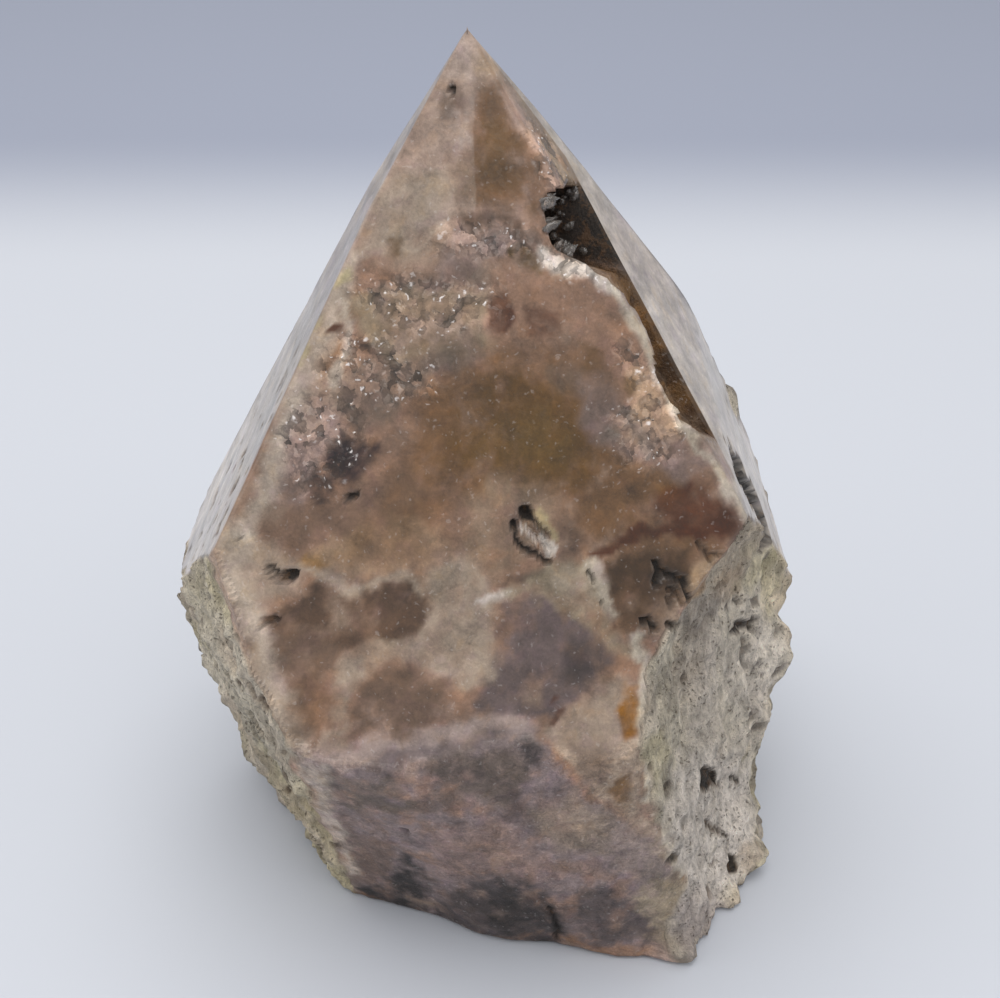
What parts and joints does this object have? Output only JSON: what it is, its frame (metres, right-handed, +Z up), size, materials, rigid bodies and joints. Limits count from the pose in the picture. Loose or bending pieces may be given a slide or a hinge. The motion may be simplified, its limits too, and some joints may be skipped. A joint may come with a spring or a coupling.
{
  "type": "amethyst point",
  "caption": "Half-polished pink amethyst crystal point: ground faces that meet at a tip above a rough natural rind, standing on a flat base, with a small crystal-lined hollow.",
  "frame": {"origin": "centre of the flat spot that the stone rests on, at z = 0", "axes": "+Z up through the tip's height, -Y out of the widest polished face, which is the front, +X to that face's right as seen from the front"},
  "size_m": [0.072, 0.0629, 0.096],
  "materials": {
    "amethyst": "polished faces above, rough natural rind below",
    "quartz_crystals": "small glassy crystals"
  },
  "bodies": {
    "root": {"amethyst_point": "amethyst", "vug_crystal_crust": "quartz_crystals"}
  },
  "joints": []
}
